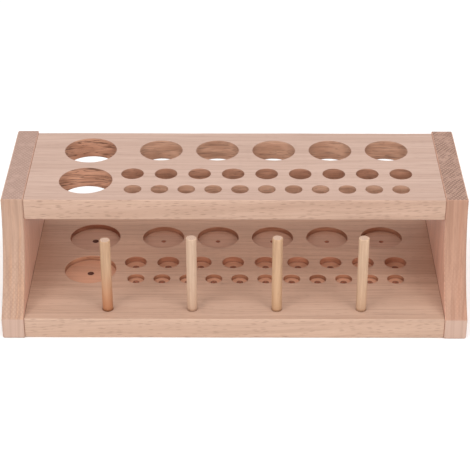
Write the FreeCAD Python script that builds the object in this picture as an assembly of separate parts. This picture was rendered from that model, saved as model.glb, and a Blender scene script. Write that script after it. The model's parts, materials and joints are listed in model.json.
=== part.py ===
import FreeCAD, Part
import math
import os

# A wooden rack for test tubes. Two cheeks hold a drilled shelf above a base board,
# the base has a shallow round seat under every hole of the shelf, and four pegs
# for drying tubes stand along its front. Hidden dowels join the boards.
# Millimetres, +Z up. The origin is on the bench, under the middle of the rack.

# boards
board = 16.5                # thickness of every board
inner_width = 312.0         # between the cheeks
rack_depth = 151.0          # depth of a cheek at its foot
cheek_height = 96.0
cheek_sweep = 40.0          # how far a cheek's front curves back from foot to top
shelf_height = 95.5         # top face of the shelf
shelf_depth = 108.0
base_depth = 147.0
cheek_overhang = 3.0        # a cheek stands this far behind the back edges of the boards

# easing of the edges
outer_round = 1.5           # around a cheek's outer face
corner_round = 1.0          # a cheek's corners, seen from the side
inner_round = 0.5           # around a cheek's inner face
board_round = 0.7           # long edges of the shelf and the base
rim_round = 0.4             # rims of the tube holes and seats

# tube holes: diameter, count, spacing, x of the row's middle, distance behind the
# shelf's front edge, depth of the seats in the base, diameter of the drill marks
small_row = (13.0, 11, 20.0, 24.0, 17.3, 3.5, 3.0)
medium_row = (17.0, 9, 25.4, 24.2, 41.2, 5.0, 3.0)
large_row = (33.0, 5, 43.7, 30.2, 79.0, 4.0, 3.2)
jumbo_front = (40.0, 1, 0.0, -112.0, 30.5, 4.0, 5.0)
jumbo_back = (40.0, 1, 0.0, -112.0, 79.0, 4.0, 5.0)
tube_rows = (small_row, medium_row, large_row, jumbo_front, jumbo_back)
mark_depth = 2.0            # cone left by the drill's point in the floor of a seat

# drying pegs
peg_diameter = 7.8
peg_heights = (60.0, 62.0, 62.0, 62.0)
peg_spacing = 63.0
peg_in_front = 25.0         # distance in front of the shelf's front edge
peg_round = 0.5
tenon_diameter = 7.0
tenon_length = 12.0

# hidden dowels
dowel_diameter = 8.0
dowel_length = 30.0
dowel_in_cheek = 10.0
dowel_round = 0.8
shelf_dowels = {"front": 16.0, "back": 92.0}                # behind the shelf's front edge
base_dowels = {"front": 18.0, "middle": 72.0, "back": 126.0}  # behind the base's front edge

cheek_front = -rack_depth / 2
board_back = rack_depth / 2 - cheek_overhang
shelf_front = board_back - shelf_depth
base_front = board_back - base_depth
shelf_underside = shelf_height - board
half_width = inner_width / 2
peg_y = shelf_front - peg_in_front
shelf_middle_z = shelf_height - board / 2
base_middle_z = board / 2


def cylinder(x, y, bottom, diameter, height):
    return Part.makeCylinder(diameter / 2, height, FreeCAD.Vector(x, y, bottom))


def long_edges(shape):
    return [edge for edge in shape.Edges if edge.BoundBox.XLength > inner_width - 1]


def tube_holes():
    """(x, y, diameter, seat depth, mark diameter) of every tube hole."""
    holes = []
    for diameter, count, spacing, middle_x, set_back, seat, mark in tube_rows:
        for number in range(count):
            x = middle_x + (number - (count - 1) / 2) * spacing
            holes.append((x, shelf_front + set_back, diameter, seat, mark))
    return holes


def peg_x(number):
    return (number - (len(peg_heights) - 1) / 2) * peg_spacing


def dowel_places():
    """(name, side, y, z) of every hidden dowel, with side -1 on the left and 1 on the right."""
    places = []
    for side_name, side in (("left", -1), ("right", 1)):
        for place, set_back in shelf_dowels.items():
            name = f"shelf_dowel_{side_name}_{place}"
            places.append((name, side, shelf_front + set_back, shelf_middle_z))
        for place, set_back in base_dowels.items():
            name = f"base_dowel_{side_name}_{place}"
            places.append((name, side, base_front + set_back, base_middle_z))
    return places


def dowel(side, y, z):
    """A dowel across the joint between a board's end and the cheek on that side."""
    start = half_width + dowel_in_cheek if side > 0 else -half_width + dowel_length - dowel_in_cheek
    at = FreeCAD.Vector(start, y, z)
    along = FreeCAD.Vector(-1, 0, 0)
    return Part.makeCylinder(dowel_diameter / 2, dowel_length, at, along)


def with_dowel_holes(shape):
    for _, side, y, z in dowel_places():
        shape = shape.cut(dowel(side, y, z))
    return shape


def cheek(side):
    """A cheek, with its front swept forward from the top to the foot in one hollow arc."""
    front_top = cheek_front + cheek_sweep
    back = rack_depth / 2
    drop = cheek_height - board
    radius = (drop ** 2 + cheek_sweep ** 2) / (2 * cheek_sweep)
    half_angle = math.asin(drop / radius) / 2
    inner_x = side * half_width
    foot_front = FreeCAD.Vector(inner_x, cheek_front, 0)
    foot_back = FreeCAD.Vector(inner_x, back, 0)
    top_back = FreeCAD.Vector(inner_x, back, cheek_height)
    top_front = FreeCAD.Vector(inner_x, front_top, cheek_height)
    arc_y = front_top - radius + radius * math.cos(half_angle)
    arc_z = cheek_height - radius * math.sin(half_angle)
    arc_middle = FreeCAD.Vector(inner_x, arc_y, arc_z)
    arc_end = FreeCAD.Vector(inner_x, cheek_front, board)
    outline = Part.Wire([
        Part.makeLine(foot_front, foot_back),
        Part.makeLine(foot_back, top_back),
        Part.makeLine(top_back, top_front),
        Part.Arc(top_front, arc_middle, arc_end).toShape(),
        Part.makeLine(arc_end, foot_front),
    ])
    shape = Part.Face(outline).extrude(FreeCAD.Vector(side * board, 0, 0))
    corners = [
        edge for edge in shape.Edges
        if edge.BoundBox.XLength > board - 1 and not is_arc_end(edge)
    ]
    shape = shape.makeFillet(corner_round, corners)
    shape = shape.makeFillet(outer_round, edges_at_x(shape, side * (half_width + board)))
    shape = shape.makeFillet(inner_round, edges_at_x(shape, side * half_width))
    return with_dowel_holes(shape)


def is_arc_end(edge):
    """Is this the blunt edge where the arc meets the upright foot? It stays as cut."""
    box = edge.BoundBox
    return abs(box.ZMin - board) < 0.01 and abs(box.YMin - cheek_front) < 0.01


def edges_at_x(shape, x):
    return [
        edge for edge in shape.Edges
        if abs(edge.BoundBox.XMin - x) < 0.001 and abs(edge.BoundBox.XMax - x) < 0.001
    ]


def plank(front, depth, bottom):
    corner = FreeCAD.Vector(-half_width, front, bottom)
    shape = Part.makeBox(inner_width, depth, board, corner)
    return shape.makeFillet(board_round, long_edges(shape))


def rims_at_z(shape, z):
    """The full circles that the tube holes leave in a face at this height."""
    smallest = small_row[0] - 0.1
    return [
        edge for edge in circles_at_z(shape, z)
        if smallest < edge.BoundBox.YLength < jumbo_front[0] + 1 and edge.isClosed()
    ]


def tube_shelf():
    shape = plank(shelf_front, shelf_depth, shelf_underside)
    for x, y, diameter, _, _ in tube_holes():
        shape = shape.cut(cylinder(x, y, shelf_underside, diameter, board))
    rims = rims_at_z(shape, shelf_height) + rims_at_z(shape, shelf_underside)
    return with_dowel_holes(shape.makeFillet(rim_round, rims))


def base_board():
    shape = plank(base_front, base_depth, 0)
    for x, y, diameter, seat, mark in tube_holes():
        floor = board - seat
        shape = shape.cut(cylinder(x, y, floor, diameter, seat))
        tip = FreeCAD.Vector(x, y, floor - mark_depth)
        shape = shape.cut(Part.makeCone(0, mark / 2, mark_depth, tip))
    shape = shape.makeFillet(rim_round, rims_at_z(shape, board))
    for number in range(len(peg_heights)):
        shape = shape.cut(cylinder(peg_x(number), peg_y, board - tenon_length, tenon_diameter, tenon_length))
    return with_dowel_holes(shape)


def circles_at_z(shape, z):
    return [
        edge for edge in shape.Edges
        if abs(edge.BoundBox.ZMin - z) < 0.001 and abs(edge.BoundBox.ZMax - z) < 0.001
    ]


def drying_peg(number):
    """A round peg that stands on the base by a shoulder, with a thinner tenon below it."""
    x = peg_x(number)
    height = peg_heights[number]
    peg = cylinder(x, peg_y, board, peg_diameter, height)
    peg = peg.makeFillet(peg_round, circles_at_z(peg, board + height))
    return peg.fuse(cylinder(x, peg_y, board - tenon_length, tenon_diameter, tenon_length))


def eased_dowel(side, y, z):
    shape = dowel(side, y, z)
    ends = [edge for edge in shape.Edges if edge.BoundBox.XLength < 0.001]
    return shape.makeChamfer(dowel_round, ends)


def write(name, shape):
    solids = shape.Solids
    if len(solids) != 1 or not shape.isValid():
        raise ValueError(f"{name} is not one valid solid")
    solids[0].exportStep(f"parts/{name}.step")
    print(f"{name}: {solids[0].Volume / 1000:.1f} cm3")


os.makedirs("parts", exist_ok=True)
write("left_cheek", cheek(-1))
write("right_cheek", cheek(1))
write("tube_shelf", tube_shelf())
write("base_board", base_board())
for peg_number in range(len(peg_heights)):
    write(f"drying_peg_{peg_number + 1}", drying_peg(peg_number))
for dowel_name, dowel_side, dowel_y, dowel_z in dowel_places():
    write(dowel_name, eased_dowel(dowel_side, dowel_y, dowel_z))
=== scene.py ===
import json
import math
import random

import bmesh
import bpy
from mathutils import Euler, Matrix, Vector
from mathutils.geometry import delaunay_2d_cdt


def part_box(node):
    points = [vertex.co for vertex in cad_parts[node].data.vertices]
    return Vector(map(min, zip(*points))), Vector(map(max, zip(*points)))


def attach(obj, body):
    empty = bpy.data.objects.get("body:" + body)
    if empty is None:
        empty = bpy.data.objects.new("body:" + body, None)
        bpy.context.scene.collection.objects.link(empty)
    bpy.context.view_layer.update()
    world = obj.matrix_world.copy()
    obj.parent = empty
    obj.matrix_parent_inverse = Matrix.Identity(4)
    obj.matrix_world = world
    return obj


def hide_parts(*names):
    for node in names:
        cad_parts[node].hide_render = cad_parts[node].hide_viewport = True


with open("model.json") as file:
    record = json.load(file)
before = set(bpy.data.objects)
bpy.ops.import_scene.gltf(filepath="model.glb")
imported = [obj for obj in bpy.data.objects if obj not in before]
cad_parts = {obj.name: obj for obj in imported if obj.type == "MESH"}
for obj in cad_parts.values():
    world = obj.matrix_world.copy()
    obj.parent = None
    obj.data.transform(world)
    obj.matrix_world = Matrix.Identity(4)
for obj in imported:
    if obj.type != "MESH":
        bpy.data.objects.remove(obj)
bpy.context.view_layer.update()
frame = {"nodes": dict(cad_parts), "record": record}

# Looks for a wooden test tube rack. The two boards and the four pegs are rebuilt here with
# worn edges and drilled walls of their own. The cheeks and the hidden dowels are the CAD's.
# The rebuilt boards have no bores in their ends, so the dowels' ends lie inside them.
# Metres, in the frame's axes: X along the rack, -Y the front, Z up.

SCENE = bpy.context.scene
MM = 0.001

RIM_ROUND = 0.4 * MM          # rims of the holes and seats
RIM_STEPS = 3                 # facets around a rim
TURN = 6.28                   # a whole turn, for waves that start anywhere
EDGE_ROUND = 0.7 * MM         # long edges of the boards
EDGE_WEAR = 0.3               # how much that rounding varies along an edge
END_EASE = 0.3 * MM           # the ends of the boards, where they meet the cheeks
STATIONS = 60                 # cross sections along a board
CORNER_STEPS = 4              # facets around a rounded edge
WALL_ROWS = 10                # rows of faces down the wall of a hole in the shelf
SEAT_ROWS = 4                 # and down the wall of a seat
CHATTER = 0.03 * MM           # height of the drill's waves in such a wall
SCRIBE_DEPTH = 0.15 * MM      # ring cut around the floor of a seat
SCRIBE_WIDTH = 0.35 * MM
SEAT_MARK_DEPTH = 2.0 * MM    # cone left by the point of the drill
MARK_STEP = 0.5 * MM          # its steep upper part, which ends at MARK_INNER of its radius
MARK_INNER = 0.85
OPENING_SLACK = 0.05 * MM     # the record's boxes stop this far inside a hole's wall
FLOOR_SLACK = 0.1 * MM        # and this far above the floor of its seat


# ---------------------------------------------------------------- shapes

def tube_holes():
    """(family, x, y, radius, z of the seat's floor) of every tube hole, from the record."""
    holes = []
    for opening in frame["record"]["physics"]["openings"]:
        name = opening["name"]
        if "_tube_hole" not in name:
            continue
        low, high = opening["box_m"]
        x, y = (low[0] + high[0]) / 2, (low[1] + high[1]) / 2
        radius = ((high[0] - low[0]) / 2 + OPENING_SLACK) * math.sqrt(2)
        holes.append((name.split("_")[0], x, y, radius, low[2] - FLOOR_SLACK))
    return holes


class Shape:
    """Faces with shared corners, gathered one by one and turned into a mesh at the end."""

    def __init__(self):
        self.places = []
        self.faces = []

    def corner(self, x, y, z):
        self.places.append((x, y, z))
        return len(self.places) - 1

    def face(self, corners, paint, smooth=False):
        self.faces.append((tuple(corners), paint, smooth))

    def strip(self, first, second, paint, smooth=True, closed=True):
        """Quads between two rows of corners."""
        count = len(first)
        for k in range(count if closed else count - 1):
            after = (k + 1) % count
            self.face((first[k], first[after], second[after], second[k]), paint, smooth)

    def build(self, name, materials):
        mesh = bpy.data.meshes.new(name)
        mesh.from_pydata(self.places, [], [corners for corners, _, _ in self.faces])
        for material in materials:
            mesh.materials.append(material)
        for polygon, (_, paint, smooth) in zip(mesh.polygons, self.faces):
            polygon.material_index = paint
            polygon.use_smooth = smooth
        made = bmesh.new()
        made.from_mesh(mesh)
        bmesh.ops.remove_doubles(made, verts=made.verts, dist=1e-6)
        bmesh.ops.recalc_face_normals(made, faces=made.faces)
        made.to_mesh(mesh)
        made.free()
        piece = bpy.data.objects.new(name, mesh)
        SCENE.collection.objects.link(piece)
        return piece


def circle(shape, x, y, radius, z, count, wobble=None):
    """A ring of corners. wobble gives how far each one leaves the true circle."""
    ring = []
    for k in range(count):
        angle = 2 * math.pi * k / count
        reach = radius + (wobble(angle, z) if wobble else 0)
        ring.append(shape.corner(x + reach * math.cos(angle), y + reach * math.sin(angle), z))
    return ring


def cap(shape, outline, rings, paint):
    """A flat face inside an outline of corners, with a hole inside each ring of corners."""
    holes = []
    for ring in rings:
        rim_points = [Vector(shape.places[corner][:2]) for corner in ring]
        centre = sum(rim_points, Vector((0, 0))) / len(ring)
        turn = 2 * math.pi / len(ring)
        # a triangle outside the hole has its middle farther out than this, and one inside doesn't
        inside = (rim_points[0] - centre).length * (1 - 0.45 * (1 - math.cos(turn)))
        holes.append((centre, inside))
    loops = [outline] + rings
    flat, numbers, edges = [], [], []
    for loop in loops:
        start = len(flat)
        for corner in loop:
            x, y, _ = shape.places[corner]
            flat.append(Vector((x, y)))
            numbers.append(corner)
        edges += [(start + k, start + (k + 1) % len(loop)) for k in range(len(loop))]
    points, _, faces, origins, _, _ = delaunay_2d_cdt(flat, edges, [], 1, 1e-7)
    for corners in faces:
        middle = sum((points[k] for k in corners), Vector((0, 0))) / len(corners)
        if any((middle - centre).length < reach for centre, reach in holes):
            continue
        shape.face([numbers[origins[k][0]] for k in corners], paint)


def quarter(steps):
    return [math.pi / 2 * k / steps for k in range(steps + 1)]


def section(shape, x, low, high, front_round, back_round, shrink):
    """The corners of a board's cross section at x, as rows for its four rounded edges."""
    y0, y1 = low.y + shrink, high.y - shrink
    z0, z1 = low.z + shrink, high.z - shrink
    rows = []
    for corner_y, side, radius, up in (
        (y0, 1, front_round, False), (y0, 1, front_round, True),
        (y1, -1, back_round, True), (y1, -1, back_round, False),
    ):
        corner_z = z1 if up else z0
        centre = (corner_y + side * radius, corner_z - radius if up else corner_z + radius)
        turn = quarter(CORNER_STEPS)
        if (side > 0) != up:
            turn = turn[::-1]
        for angle in turn:
            y = centre[0] - side * radius * math.cos(angle)
            z = centre[1] + (radius if up else -radius) * math.sin(angle)
            rows.append(shape.corner(x, y, z))
    return rows


FACE, EDGE, JOINT_SHADE, FIRST_WALL = 0, 1, 2, 3


def board(name, node, materials, seed, drill):
    """A board with worn long edges. drill cuts its holes, and gives their rings in both faces."""
    low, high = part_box(node)
    chance = random.Random(seed)
    phases = [
        (chance.uniform(0, TURN), chance.uniform(15, 70), chance.uniform(40, 160))
        for _ in range(2)
    ]
    shape = Shape()
    sections = []
    places = [low.x, low.x + END_EASE]
    inner = high.x - low.x - 2 * END_EASE
    places += [low.x + END_EASE + inner * k / (STATIONS - 1) for k in range(1, STATIONS)]
    places.append(high.x)
    for number, x in enumerate(places):
        rounds = []
        for start, slow, quick in phases:
            wear = 0.6 * math.sin(start + slow * x) + 0.4 * math.sin(start * 2 + quick * x)
            rounds.append(EDGE_ROUND * (1 + EDGE_WEAR * wear))
        at_end = number in (0, len(places) - 1)
        shrink = END_EASE if at_end else 0
        sections.append(section(shape, x, low, high, *rounds, shrink))
    steps = CORNER_STEPS + 1
    count = 4 * steps
    top_flat = 2 * steps - 1
    bottom_flat = count - 1
    for number in range(len(sections) - 1):
        first, second = sections[number], sections[number + 1]
        at_end = number in (0, len(sections) - 2)
        for k in range(count):
            if k in (top_flat, bottom_flat) and not at_end:
                continue
            after = (k + 1) % count
            rounded = k % steps != steps - 1
            # the ends, where the board meets the cheeks, take the painted shade of the crevice
            # there
            paint = JOINT_SHADE if at_end else EDGE
            corners = (first[k], first[after], second[after], second[k])
            shape.face(corners, paint, rounded and not at_end)
    shape.face(sections[0], JOINT_SHADE)
    shape.face(sections[-1], JOINT_SHADE)
    inner_sections = sections[1:-1]
    backwards = inner_sections[::-1]
    top = [row[top_flat] for row in inner_sections] + [row[top_flat + 1] for row in backwards]
    bottom = [row[0] for row in inner_sections] + [row[bottom_flat] for row in backwards]
    top_rings, bottom_rings = drill(shape, low, high, chance)
    cap(shape, top, top_rings, FACE)
    cap(shape, bottom, bottom_rings, FACE)
    return shape.build(name, materials)


FAMILIES = ("small", "medium", "large", "jumbo")
SEGMENTS = {"small": 48, "medium": 56, "large": 80, "jumbo": 96}


def chatter(chance, depth):
    """Small waves that a drill leaves down the wall of a hole."""
    waves = [
        (chance.randint(2, 5), chance.uniform(300, 1500), chance.uniform(0, TURN)) for _ in range(3)
    ]

    def wobble(angle, z):
        return sum(
            depth / 3 * math.sin(lobes * angle + pitch * z + start)
            for lobes, pitch, start in waves
        )

    return wobble


def rim(shape, x, y, radius, z, down, count):
    """Rings around the rounded mouth of a hole, from the face of the board inwards."""
    rings = []
    for angle in quarter(RIM_STEPS):
        reach = radius + RIM_ROUND * (1 - math.sin(angle))
        depth = RIM_ROUND * (1 - math.cos(angle))
        rings.append(circle(shape, x, y, reach, z - depth if down else z + depth, count))
    for first, second in zip(rings, rings[1:]):
        shape.strip(first, second, FACE)
    return rings[0], rings[-1]


def drill_shelf(shape, low, high, chance):
    top_rings, bottom_rings = [], []
    for family, x, y, radius, _ in tube_holes():
        count = SEGMENTS[family]
        paint = FIRST_WALL + FAMILIES.index(family)
        wobble = chatter(chance, CHATTER)
        outer_top, inner_top = rim(shape, x, y, radius, high.z, True, count)
        outer_bottom, inner_bottom = rim(shape, x, y, radius, low.z, False, count)
        rings = [inner_top]
        wall_top, wall_bottom = high.z - RIM_ROUND, low.z + RIM_ROUND
        for k in range(1, WALL_ROWS):
            z = wall_top + (wall_bottom - wall_top) * k / WALL_ROWS
            rings.append(circle(shape, x, y, radius, z, count, wobble))
        rings.append(inner_bottom)
        for first, second in zip(rings, rings[1:]):
            shape.strip(first, second, paint)
        top_rings.append(outer_top)
        bottom_rings.append(outer_bottom)
    return top_rings, bottom_rings


MARK_RADIUS = {"small": 1.5 * MM, "medium": 1.5 * MM, "large": 1.6 * MM, "jumbo": 2.5 * MM}
SEAT_FLOOR, DARK_MARK, PEG_GAP_SHADE, MARK, DARK_RING = 7, 8, 9, 10, 11
DARK_RING_SPREAD = {"small": 1.7, "medium": 1.7, "large": 1.2, "jumbo": 1.2}   # against the mark
PEGS = [f"drying_peg_{number}" for number in range(1, 5)]
LOOSE_PEG = 0.35 * MM         # the sunk ring around the foot of the first peg
SNUG_PEG = 0.1 * MM           # and around the others
RING_DEPTH = 0.5 * MM
TENON_RADIUS = 3.5 * MM
TENON_EASE = 0.4 * MM         # the bevel at the tip of a tenon
PEG_EASE = 0.6 * MM           # the rounding at the top of a peg
PEG_ROWS = 26
PEG_SEGMENTS = 40


def peg_place(node):
    low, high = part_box(node)
    return (low.x + high.x) / 2, (low.y + high.y) / 2, (high.x - low.x) / 2


def drill_base(shape, low, high, chance):
    rings_out = []
    for family, x, y, radius, floor in tube_holes():
        count = SEGMENTS[family]
        paint = FIRST_WALL + FAMILIES.index(family)
        outer, inner = rim(shape, x, y, radius, high.z, True, count)
        wall_top = high.z - RIM_ROUND
        rings = [inner]
        for k in range(1, SEAT_ROWS):
            z = wall_top + (floor - wall_top) * k / SEAT_ROWS
            rings.append(circle(shape, x, y, radius, z, count))
        scribed = circle(shape, x, y, radius, floor - SCRIBE_DEPTH, count)
        rings.append(scribed)
        for first, second in zip(rings, rings[1:]):
            shape.strip(first, second, paint)
        inside = circle(shape, x, y, radius - SCRIBE_WIDTH, floor, count)
        shape.strip(scribed, inside, paint)
        lip = MARK_RADIUS[family]
        mark_paint = DARK_MARK if family == "jumbo" else MARK
        mark = circle(shape, x, y, lip, floor, count)
        # a darker ring on the floor around the drill mark, in all but the jumbo seats
        ring_edge = circle(shape, x, y, lip * DARK_RING_SPREAD[family], floor, count)
        shape.strip(inside, ring_edge, SEAT_FLOOR, smooth=False)
        shape.strip(ring_edge, mark, SEAT_FLOOR if family == "jumbo" else DARK_RING, smooth=False)
        sunk = circle(shape, x, y, lip * MARK_INNER, floor - MARK_STEP, count)
        shape.strip(mark, sunk, mark_paint)
        tip = shape.corner(x, y, floor - SEAT_MARK_DEPTH)
        for k in range(count):
            shape.face((sunk[k], sunk[(k + 1) % count], tip), mark_paint)
        rings_out.append(outer)
    for node in PEGS:
        x, y, radius = peg_place(node)
        gap = LOOSE_PEG if node == PEGS[0] else SNUG_PEG
        # the sunk ring around the peg is painted dark, as painted shade in the gap at its foot
        outer = circle(shape, x, y, radius + gap, high.z, PEG_SEGMENTS)
        sunk = circle(shape, x, y, TENON_RADIUS, high.z - RING_DEPTH, PEG_SEGMENTS)
        shape.strip(outer, sunk, PEG_GAP_SHADE)
        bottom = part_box(node)[0].z
        hole = circle(shape, x, y, TENON_RADIUS, bottom, PEG_SEGMENTS)
        shape.strip(sunk, hole, PEG_GAP_SHADE)
        shape.face(hole, PEG_GAP_SHADE)
        rings_out.append(outer)
    return rings_out, []


def peg(name, node, material, seed):
    """A turned dowel rod: nearly round, softened at the top, with a tenon below its shoulder."""
    low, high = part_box(node)
    x, y, radius = peg_place(node)
    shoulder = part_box("base_board")[1].z
    chance = random.Random(seed)
    lean, swell = chance.uniform(0, TURN), chance.uniform(0, TURN)
    shape = Shape()
    profile = [(TENON_RADIUS - TENON_EASE, low.z), (TENON_RADIUS, low.z + TENON_EASE)]
    profile += [(TENON_RADIUS, shoulder), (radius, shoulder)]
    for k in range(1, PEG_ROWS + 1):
        profile.append((radius, shoulder + (high.z - PEG_EASE - shoulder) * k / PEG_ROWS))
    profile += [
        (radius - PEG_EASE * (1 - math.cos(angle)), high.z - PEG_EASE + PEG_EASE * math.sin(angle))
        for angle in quarter(4)[1:]
    ]
    rings = []
    for reach, z in profile:
        ring = []
        for k in range(PEG_SEGMENTS):
            angle = 2 * math.pi * k / PEG_SEGMENTS
            oval = 0.006 * (1 + math.cos(2 * angle + lean))
            waist = 0.004 * (1 + math.sin(z * 160 + swell))
            out = reach * (1 - oval - waist)
            ring.append(shape.corner(x + out * math.cos(angle), y + out * math.sin(angle), z))
        rings.append(ring)
    shape.face(rings[0], 0)
    for number, (first, second) in enumerate(zip(rings, rings[1:])):
        shape.strip(first, second, 0, smooth=number > 2)
    shape.face(rings[-1], 1)
    return shape.build(name, material)


# ---------------------------------------------------------------- colours

def tone(red, green, blue):
    """A colour as it looks on a screen, 0 to 255, as the shader's linear numbers."""
    linear = []
    for value in (red, green, blue):
        share = value / 255
        linear.append(share / 12.92 if share <= 0.04045 else ((share + 0.055) / 1.055) ** 2.4)
    return (*linear, 1.0)


SHELF_TOP = tone(182, 154, 140)
SHELF_EDGE = tone(184, 153, 134)
BASE_TOP = tone(182, 147, 127)
# painted shade and light on the base's top face: its front a little darker, its back under the
# shelf lighter and warmer
FRONT_SHADE_TINT = (0.95, 0.99, 1.0, 1.0)
BACK_LIGHT_TINT = (1.1, 1.03, 0.97, 1.0)
BASE_EDGE = tone(184, 153, 133)
SEAT_FLOOR_TONE = tone(184, 139, 116)
# painted light: the floors of the seats at the front are painted lighter, where more light reaches
# them
LIT_FLOOR = (1.22, 1.15, 1.08, 1.0)
NO_TINT = (1.0, 1.0, 1.0, 1.0)
SHELF_WALLS = (tone(196, 156, 132), tone(178, 132, 108), tone(194, 154, 130), tone(194, 147, 121))
SEAT_WALLS = (tone(176, 121, 92), tone(186, 126, 97), tone(180, 126, 98), tone(170, 112, 86))
# painted light: the wall of the jumbo seat at the front, lighter and more orange
LIT_FRONT_SEAT_WALL = tone(208, 154, 122)
# each peg: its tone, a warmer tone painted low on it as reflected light from the board, and how
# strong that is
PEG_TONES = (
    (tone(180, 146, 116), tone(170, 108, 72), 0.8),
    (tone(190, 161, 138), tone(186, 144, 118), 0.3),
    (tone(184, 149, 118), tone(182, 138, 102), 0.35),
    (tone(190, 159, 133), tone(186, 144, 112), 0.35),
)
PEG_END = tone(182, 154, 136)
OUTER_TINT = (0.86, 0.95, 0.97, 1.0)
LEFT_CHEEK = (
    tone(208, 163, 141), tone(175, 142, 122), tone(179, 149, 133), tone(166, 137, 124),
    tone(188, 136, 100), 0.38, 0.5, 0.3,
)
RIGHT_CHEEK = (
    tone(213, 165, 143), tone(168, 128, 107), tone(179, 149, 133), tone(164, 132, 117),
    tone(180, 128, 102), 0.3, 1.0, 0.15,
)


# ---------------------------------------------------------------- materials

class Tree:
    """A material's nodes, added one call at a time."""

    def __init__(self, name):
        self.material = bpy.data.materials.new(name)
        self.material.use_nodes = True
        self.tree = self.material.node_tree
        self.shader = self.tree.nodes["Principled BSDF"]

    def put(self, socket, value):
        if isinstance(value, bpy.types.NodeSocket):
            self.tree.links.new(value, socket)
        else:
            socket.default_value = value

    def node(self, kind, inputs=(), **settings):
        made = self.tree.nodes.new("ShaderNode" + kind)
        for key, value in settings.items():
            setattr(made, key, value)
        for key, value in dict(inputs).items():
            self.put(made.inputs[key], value)
        return made

    def math(self, operation, first, second=0.0, third=0.0):
        made = self.node("Math", {0: first, 1: second, 2: third}, operation=operation)
        return made.outputs[0]

    def scaled(self, vector, scale):
        made = self.node("VectorMath", {0: vector, 1: scale}, operation="MULTIPLY")
        return made.outputs[0]

    def own(self):
        """The object's own coordinates, whole and as x, y and z."""
        whole = self.node("TexCoord").outputs["Object"]
        parts = self.node("SeparateXYZ", {0: whole})
        return whole, [parts.outputs[k] for k in range(3)]

    def noise(self, vector, scale, detail=2.0, roughness=0.5, distortion=0.0):
        """Noise from 0 to 1, with its scale per metre along each axis."""
        made = self.node("TexNoise", {
            "Vector": self.scaled(vector, scale), "Scale": 1.0, "Detail": detail,
            "Roughness": roughness, "Distortion": distortion,
        })
        return made.outputs["Fac"]

    def between(self, value, low, high, strength=1.0):
        """0 below low, strength above high, smooth in the middle."""
        made = self.node("MapRange", {
            "Value": value, "From Min": low, "From Max": high, "To Min": 0.0, "To Max": strength,
        }, interpolation_type="SMOOTHSTEP")
        return made.outputs["Result"]

    def contour(self, value, level, width, strength=1.0):
        """Thin lines where a noise passes through a level."""
        away = self.math("ABSOLUTE", self.math("SUBTRACT", value, level))
        return self.math("SUBTRACT", strength, self.between(away, 0.0, width, strength))

    def mix(self, share, first, second, blend="MIX"):
        made = self.node("Mix", data_type="RGBA", blend_type=blend)
        # a colour mix keeps its factor first and its two colours at sockets 6 and 7
        for socket, value in ((0, share), (6, first), (7, second)):
            self.put(made.inputs[socket], value)
        return made.outputs[2]

    def tinted(self, share, colour, tint):
        return self.mix(share, colour, tint, "MULTIPLY")

    def finish(self, colour, roughness, bump=None, strength=0.25, distance=0.00012):
        self.put(self.shader.inputs["Base Color"], colour)
        self.put(self.shader.inputs["Roughness"], roughness)
        self.shader.inputs["Specular IOR Level"].default_value = 0.3
        if bump is not None:
            made = self.node("Bump", {"Strength": strength, "Distance": distance, "Height": bump})
            self.put(self.shader.inputs["Normal"], made.outputs["Normal"])
        return self.material


def shade(base, level, warmth=0.0):
    """The base colour made lighter or darker, and warmer by holding back green and blue."""
    red, green, blue, _ = base
    return (red * level, green * level * (1 - warmth), blue * level * (1 - 1.6 * warmth), 1.0)


def grain_space(tree, upright, shift, slant=0.0):
    """The object's own coordinates with the grain along the first axis, moved to its own patch."""
    _, (x, y, z) = tree.own()
    if slant:
        z = tree.math("MULTIPLY_ADD", x, -slant, z)
    order = (z, y, x) if upright else (x, y, z)
    joined = tree.node("CombineXYZ", dict(enumerate(order)))
    moved = tree.node("VectorMath", {0: joined.outputs[0], 1: shift}, operation="ADD")
    wander = tree.noise(moved.outputs[0], (9, 25, 25), detail=2.0)
    swing = tree.math("MULTIPLY", tree.math("SUBTRACT", wander, 0.5), 0.008)
    offset = tree.node("CombineXYZ", {0: 0.0, 1: swing, 2: swing})
    bent = tree.node("VectorMath", {0: moved.outputs[0], 1: offset.outputs[0]}, operation="ADD")
    return bent.outputs[0]


def dashes(tree, grain, scale, size, share):
    """Short rays along the grain, in some cells of a stretched pattern."""
    cells = tree.node("TexVoronoi", {
        "Vector": tree.scaled(grain, scale), "Scale": 1.0, "Randomness": 1.0,
    })
    spot = tree.math("SUBTRACT", 1.0, tree.between(cells.outputs["Distance"], size * 0.3, size))
    colour = tree.node("SeparateColor", {0: cells.outputs["Color"]})
    chosen = tree.between(colour.outputs[0], 1 - share, 1 - share + 0.3)
    return tree.math("MULTIPLY", spot, chosen)


def grained(tree, grain, base, contrast, ray_share, ray_strength):
    """Beech along its grain: broad bands, wavy lines, fine fibres and short dark rays."""
    bands = tree.noise(grain, (2.5, 105.0, 105.0), detail=3.0, roughness=0.55)
    lines = tree.noise(grain, (9.0, 560.0, 560.0), detail=3.0, roughness=0.62)
    fibre = tree.noise(grain, (34.0, 900.0, 900.0), detail=3.0, roughness=0.6)
    colour = tree.mix(tree.between(bands, 0.3, 0.7), shade(base, 1.08), shade(base, 0.96, 0.03))
    dark = shade(base, 0.74, 0.05)
    colour = tree.mix(tree.between(lines, 0.47, 0.68, 0.62 * contrast), colour, dark)
    colour = tree.mix(tree.between(fibre, 0.45, 0.75, 0.42 * contrast), colour, dark)
    rays = dashes(tree, grain, (140.0, 980.0, 980.0), 0.45, ray_share)
    colour = tree.mix(tree.math("MULTIPLY", rays, ray_strength), colour, shade(base, 0.5, 0.1))
    height = tree.math("SUBTRACT", fibre, tree.math("MULTIPLY", rays, 0.6))
    return colour, fibre, height


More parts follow.
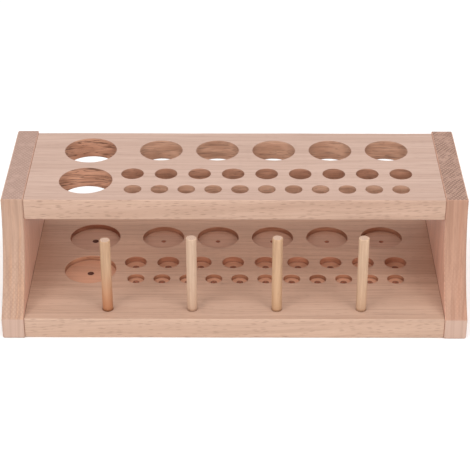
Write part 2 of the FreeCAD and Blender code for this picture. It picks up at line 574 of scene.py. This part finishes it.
def long_grain(name, shift, base, contrast, ray_share, ray_strength, slant=0.0, tints=None):
    """A planed beech surface. tints holds its front and back tints, and where each one ends. They
    are painted light and shade: lighter or darker by how the light falls there.
    """
    tree = Tree(name)
    grain = grain_space(tree, False, shift, slant)
    colour, fibre, height = grained(tree, grain, base, contrast, ray_share, ray_strength)
    if tints:
        front, back, front_end, back_end = tints
        _, (_, y, _) = tree.own()
        tint = tree.mix(tree.between(y, front_end, back_end), front, back)
        colour = tree.tinted(1.0, colour, tint)
    rough = tree.math("MULTIPLY_ADD", fibre, 0.18, 0.42)
    return tree.finish(colour, rough, height)


def drilled_wall(name, base, pitch, streaks, start, ends, floor=None, front=None):
    """The wall of a drilled hole: soft patches, and thin scorched lines where the drill rubbed.

    ends darkens it where it cuts across the grain, at the left and the right of the hole.
    A seat also has a floor, with a darker line above it, painted shade in the crease. front is the
    tone of a seat at the front, painted light where its wall is better lit.
    """
    tree = Tree(name)
    _, (x, y, z) = tree.own()
    rise = tree.math("MULTIPLY_ADD", y, 0.45, z)
    leaning = tree.node("CombineXYZ", {0: x, 1: y, 2: rise}).outputs[0]
    shifted = tree.node("VectorMath", {0: leaning, 1: (start, start, start)}, operation="ADD")
    moved = shifted.outputs[0]
    layers = tree.noise(moved, (16.0, 16.0, pitch), detail=2.0, roughness=0.5, distortion=0.3)
    second = tree.noise(moved, (26.0, 26.0, pitch * 1.7), detail=2.0, roughness=0.6)
    fine = tree.noise(moved, (120.0, 120.0, 1500.0), detail=2.0, roughness=0.6)
    patches = tree.noise(moved, (45.0, 45.0, 210.0), detail=2.0)
    light, dark = shade(base, 1.14, -0.02), shade(base, 0.84, 0.07)
    # painted light: a seat at the front takes the lighter front tone, and the seat behind keeps
    # base
    if front:
        behind = tree.between(y, 0.022, 0.036)
        light = tree.mix(behind, shade(front, 1.1), light)
        dark = tree.mix(behind, shade(front, 0.85, 0.05), dark)
    colour = tree.mix(tree.between(patches, 0.3, 0.7), light, dark)
    colour = tree.mix(tree.between(fine, 0.42, 0.75, 0.35), colour, shade(base, 0.66, 0.06))
    facing = tree.node("SeparateXYZ", {0: tree.node("NewGeometry").outputs["Normal"]})
    end_grain = tree.between(tree.math("ABSOLUTE", facing.outputs[0]), 0.6, 0.97, ends)
    colour = tree.mix(end_grain, colour, shade(base, 0.45, 0.1))
    scorch = shade(base, 0.24, 0.1)
    colour = tree.mix(tree.contour(layers, 0.5, 0.026, streaks), colour, scorch)
    colour = tree.mix(tree.contour(second, 0.56, 0.022, streaks * 0.9), colour, scorch)
    # painted shade: the wall darkens over its lowest 1.8 mm, in the crease where it meets the
    # seat's floor
    if floor:
        low = tree.math("SUBTRACT", 0.55, tree.between(z, floor + 0.0004, floor + 0.0018, 0.55))
        colour = tree.mix(low, colour, shade(base, 0.5, 0.08))
    rough = tree.math("MULTIPLY_ADD", fine, 0.2, 0.5)
    return tree.finish(colour, rough, fine, 0.3, 0.00015)


def plain_wood(name, base, scale, rough_base=0.5):
    tree = Tree(name)
    whole, _ = tree.own()
    fibre = tree.noise(whole, scale, detail=3.0, roughness=0.6)
    colour = tree.mix(tree.between(fibre, 0.35, 0.7), shade(base, 1.12), shade(base, 0.82, 0.04))
    rough = tree.math("MULTIPLY_ADD", fibre, 0.2, rough_base)
    return tree.finish(colour, rough, fibre)


def saw_lines(tree, slant, spacing):
    """Straight lines that a saw leaves across a cut, slanting one way."""
    whole, (x, y, z) = tree.own()
    depth = tree.math("MULTIPLY_ADD", z, 0.6, y)
    across = tree.math("MULTIPLY_ADD", depth, slant, x)
    stray = tree.noise(whole, (60.0, 60.0, 60.0), detail=1.0)
    wander = tree.math("MULTIPLY", stray, 6.0)
    turns = tree.math("MULTIPLY_ADD", across, 2 * math.pi / spacing, wander)
    fading = tree.between(tree.noise(whole, (170.0, 170.0, 170.0), detail=1.0), 0.25, 0.55)
    return tree.math("MULTIPLY", tree.between(tree.math("SINE", turns), -0.2, 0.9), fading)


def cheek_wood(name, shift, side, arc, foot, end, streak, streak_share, end_hatch, arc_hatch):
    """An upright cheek: long grain on its sides and front, sawn end grain on its top.

    arc, foot and end are the tones of its curved front, its foot and its top.
    """
    tree = Tree(name)
    whole, (x, _, z) = tree.own()
    facing = tree.node("SeparateXYZ", {0: tree.node("NewGeometry").outputs["Normal"]})
    upward = tree.math("ABSOLUTE", facing.outputs[2])
    forward = tree.between(tree.math("MULTIPLY", facing.outputs[1], -1.0), 0.3, 0.55)
    foot_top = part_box("base_board")[1].z
    above_foot = tree.between(z, foot_top - 0.0006, foot_top + 0.0006)

    grain = grain_space(tree, True, shift)
    side_colour, fibre, height = grained(tree, grain, side, 1.0, 0.25, 0.3)
    inner_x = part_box("base_board")[1].x
    outer = tree.between(tree.math("ABSOLUTE", x), inner_x + 0.004, inner_x + 0.014)
    side_colour = tree.tinted(outer, side_colour, OUTER_TINT)
    lines = tree.noise(grain, (7.0, 30.0, 430.0), detail=3.0, roughness=0.6)
    broad = tree.noise(grain, (6.0, 16.0, 170.0), detail=2.0)
    specks = tree.noise(grain, (90.0, 130.0, 900.0), detail=2.0)
    arc_colour = tree.mix(tree.between(broad, 0.3, 0.55), shade(arc, 1.1), arc)
    arc_colour = tree.mix(tree.between(broad, 0.53, 0.64, streak_share), arc_colour, streak)
    arc_colour = tree.mix(tree.between(lines, 0.42, 0.64, 0.6), arc_colour, shade(arc, 0.72, 0.06))
    arc_colour = tree.mix(tree.between(specks, 0.5, 0.72, 0.3), arc_colour, shade(arc, 0.7, 0.06))
    foot_lines = tree.between(lines, 0.42, 0.66, 0.4)
    foot_colour = tree.mix(foot_lines, shade(foot, 1.06), shade(foot, 0.78, 0.05))

    first = saw_lines(tree, 0.75, 0.0029)
    second = saw_lines(tree, -0.7, 0.0031)
    pores = tree.noise(whole, (700.0, 700.0, 300.0), detail=2.0)
    hatch = tree.math("MAXIMUM", first, second)
    end_lines = tree.math("MULTIPLY", hatch, end_hatch)
    end_colour = tree.mix(end_lines, shade(end, 1.08), shade(end, 0.6, 0.08))
    end_colour = tree.mix(tree.between(pores, 0.42, 0.75, 0.35), end_colour, shade(end, 0.72, 0.03))

    sloped = tree.between(upward, 0.2, 0.55, arc_hatch)
    arc_colour = tree.mix(tree.math("MULTIPLY", hatch, sloped), arc_colour, shade(arc, 0.6, 0.08))
    front_colour = tree.mix(above_foot, foot_colour, arc_colour)
    colour = tree.mix(forward, side_colour, front_colour)
    is_end = tree.between(upward, 0.84, 0.97)
    colour = tree.mix(is_end, colour, end_colour)
    rough = tree.math("MULTIPLY_ADD", fibre, 0.18, 0.45)
    return tree.finish(colour, rough, height)


shelf_top = long_grain("shelf_face", (0.31, 0.12, 0.05), SHELF_TOP, 0.8, 0.3, 0.3)
shelf_edge = long_grain("shelf_edge", (0.87, 0.41, 0.33), SHELF_EDGE, 0.7, 0.75, 0.6, 0.05)
base_top = long_grain(
    "base_face", (0.53, 0.77, 0.61), BASE_TOP, 0.9, 0.35, 0.35,
    tints=(FRONT_SHADE_TINT, BACK_LIGHT_TINT, -0.07, 0.02),
)
base_edge = long_grain("base_edge", (0.19, 0.93, 0.27), BASE_EDGE, 0.7, 0.7, 0.5, 0.04)
seat_floor = long_grain(
    "seat_floor", (0.71, 0.29, 0.83), SEAT_FLOOR_TONE, 0.9, 0.2, 0.3,
    tints=(LIT_FLOOR, NO_TINT, 0.012, 0.026),
)
# painted shade: the eased ends of the boards, dark as the shadow where they meet the cheeks
joint_shade = plain_wood("joint_painted_shade", tone(122, 80, 61), (300.0, 300.0, 300.0))
dark_mark = plain_wood("dark_drill_mark", tone(86, 46, 34), (500.0, 500.0, 500.0), 0.6)
drill_mark = plain_wood("drill_mark", tone(150, 92, 70), (500.0, 500.0, 500.0), 0.6)
# the darker ring around the drill mark in a seat's floor
dark_ring = plain_wood("drill_mark_ring", tone(134, 88, 68), (400.0, 400.0, 400.0), 0.55)
# painted shade for the gap around the foot of each peg
peg_gap_shade = plain_wood("peg_gap_shade", tone(138, 92, 68), (400.0, 400.0, 400.0), 0.6)

WALL_PITCH = {"small": 330.0, "medium": 320.0, "large": 300.0, "jumbo": 320.0}
SHELF_STREAKS = (0.35, 0.5, 0.5, 1.0)     # how dark the scorched lines are, family by family
SEAT_STREAKS = (0.15, 0.2, 0.25, 0.35)
shelf_walls = [
    drilled_wall(f"shelf_wall_{family}", base, WALL_PITCH[family], streaks, 0.013, 0.35)
    for family, base, streaks in zip(FAMILIES, SHELF_WALLS, SHELF_STREAKS)
]
seat_walls = []
for family, base, streaks in zip(FAMILIES, SEAT_WALLS, SEAT_STREAKS):
    floor = next(hole[4] for hole in tube_holes() if hole[0] == family)
    front = LIT_FRONT_SEAT_WALL if family == "jumbo" else None
    seat_walls.append(drilled_wall(
        f"seat_wall_{family}", base, WALL_PITCH[family], streaks, 0.047, 0.55, floor, front,
    ))

shelf = board(
    "tube_shelf_board", "tube_shelf",
    [shelf_top, shelf_edge, joint_shade] + shelf_walls,
    11, drill_shelf,
)
seat_paints = [seat_floor, dark_mark, peg_gap_shade, drill_mark, dark_ring]
base = board(
    "base_board_plank", "base_board",
    [base_top, base_edge, joint_shade] + seat_walls + seat_paints,
    23, drill_base,
)
for piece, node in ((shelf, "tube_shelf"), (base, "base_board")):
    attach(piece, "root")
    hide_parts(node)


def peg_wood(name, base, foot, bounce_share):
    """Pale rod with upright fibres. foot warms it towards the board, as painted reflected light
    from the board's wood.
    """
    tree = Tree(name)
    whole, (_, _, z) = tree.own()
    fibre = tree.noise(whole, (520.0, 520.0, 20.0), detail=3.0, roughness=0.6)
    broad = tree.noise(whole, (160.0, 160.0, 14.0), detail=2.0)
    specks = tree.noise(whole, (800.0, 800.0, 130.0), detail=1.0)
    colour = tree.mix(tree.between(fibre, 0.35, 0.7), shade(base, 1.08), shade(base, 0.86, 0.04))
    colour = tree.mix(tree.between(broad, 0.4, 0.7, 0.35), colour, shade(base, 0.84, 0.05))
    colour = tree.mix(tree.between(specks, 0.64, 0.8, 0.35), colour, shade(base, 0.62, 0.1))
    board_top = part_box("base_board")[1].z
    # painted reflected light: the rod takes the warmer foot tone near the board, fading out 45 mm
    # above it
    painted_bounce = tree.between(z, board_top, board_top + 0.045, bounce_share)
    colour = tree.mix(tree.math("SUBTRACT", bounce_share, painted_bounce), colour, foot)
    rough = tree.math("MULTIPLY_ADD", fibre, 0.2, 0.42)
    return tree.finish(colour, rough, fibre, 0.25, 0.0001)


def peg_end(name, x, y, base):
    """End grain with faint rings around a point beside the middle."""
    tree = Tree(name)
    whole, _ = tree.own()
    heart = (x + 1.2 * MM, y - 0.8 * MM, 0.0)
    off = tree.node("VectorMath", {0: whole, 1: heart}, operation="SUBTRACT").outputs[0]
    flat = tree.scaled(off, (1.0, 1.0, 0.0))
    length = tree.node("VectorMath", {0: flat}, operation="LENGTH").outputs["Value"]
    rings = tree.math("SINE", tree.math("MULTIPLY", length, 5200.0))
    pores = tree.noise(whole, (1500.0, 1500.0, 300.0), detail=2.0)
    colour = tree.mix(tree.between(rings, -0.4, 1.0), shade(base, 1.06), shade(base, 0.82, 0.03))
    colour = tree.mix(tree.between(pores, 0.5, 0.8, 0.5), colour, shade(base, 0.8, 0.03))
    return tree.finish(colour, 0.6, pores, 0.2, 0.0001)


for number, (node, (base_tone, foot, share)) in enumerate(zip(PEGS, PEG_TONES), 1):
    x, y, _ = peg_place(node)
    paints = [
        peg_wood(f"peg_wood_{number}", base_tone, foot, share),
        peg_end(f"peg_end_{number}", x, y, PEG_END),
    ]
    rod = peg(f"drying_rod_{number}", node, paints, 40 + number)
    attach(rod, "root")
    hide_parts(node)


def dress(node, material):
    mesh = frame["nodes"][node].data
    mesh.materials.clear()
    mesh.materials.append(material)


dress("left_cheek", cheek_wood("left_cheek_wood", (0.11, 0.23, 0.37), *LEFT_CHEEK))
dress("right_cheek", cheek_wood("right_cheek_wood", (0.67, 0.59, 0.17), *RIGHT_CHEEK))
dowel_wood = plain_wood("dowel_rod", tone(190, 150, 112), (30.0, 700.0, 700.0))
for node in frame["nodes"]:
    if "dowel" in node:
        dress(node, dowel_wood)


# ---------------------------------------------------------------- studio

LIGHT_AIM = Vector((0, 0, 0.05))    # about half way up the rack
PAPER_REACH = 8.0                   # half the width of the paper on the floor
FRONT_POWER = 10.8                  # watts
OVERHEAD_POWER = 23.5
SKY_STRENGTH = 0.58
SENSOR_WIDTH = 36                   # millimetres, as the lens
LENS = 122.24
CAMERA_PLACE = (0.00387, -1.05545, 0.67648)
CAMERA_TILT = math.radians(59.094)
CAMERA_SWING = math.radians(0.197)


def studio_floor():
    mesh = bpy.data.meshes.new("studio_floor")
    signs = ((-1, -1), (1, -1), (1, 1), (-1, 1))
    corners = [(x * PAPER_REACH, y * PAPER_REACH, 0) for x, y in signs]
    mesh.from_pydata(corners, [], [(0, 1, 2, 3)])
    floor = bpy.data.objects.new("studio_floor", mesh)
    SCENE.collection.objects.link(floor)
    tree = Tree("studio_paper")
    own = tree.node("TexCoord").outputs["Object"]
    mottle = tree.noise(own, (3.0, 3.0, 3.0), detail=1.0)
    paper = tree.mix(mottle, (0.9, 0.9, 0.9, 1), (0.93, 0.93, 0.93, 1))
    mesh.materials.append(tree.finish(paper, 0.9))


def soft_light(name, place, size, power):
    light = bpy.data.lights.new(name, "AREA")
    light.shape = "RECTANGLE"
    light.size, light.size_y = size
    light.energy = power
    lamp = bpy.data.objects.new(name, light)
    lamp.location = place
    towards = LIGHT_AIM - Vector(place)
    lamp.rotation_euler = towards.to_track_quat("-Z", "Y").to_euler()
    SCENE.collection.objects.link(lamp)


studio_floor()
soft_light("overhead", (0.0, -0.25, 1.7), (2.2, 1.6), OVERHEAD_POWER)
soft_light("front_left", (-1.15, -1.25, 0.95), (0.8, 0.8), FRONT_POWER)
soft_light("front_right", (1.15, -1.25, 0.95), (0.8, 0.8), FRONT_POWER)
world = bpy.data.worlds.new("studio")
world.use_nodes = True
sky = world.node_tree.nodes["Background"]
sky.inputs["Color"].default_value = (1, 1, 1, 1)
sky.inputs["Strength"].default_value = SKY_STRENGTH
SCENE.world = world

camera_data = bpy.data.cameras.new("camera")
camera_data.sensor_width = SENSOR_WIDTH
camera_data.lens = LENS
camera = bpy.data.objects.new("camera", camera_data)
camera.location = CAMERA_PLACE
camera.rotation_euler = Euler((CAMERA_TILT, 0, CAMERA_SWING))
SCENE.collection.objects.link(camera)
SCENE.camera = camera
SCENE.view_settings.view_transform = "Standard"
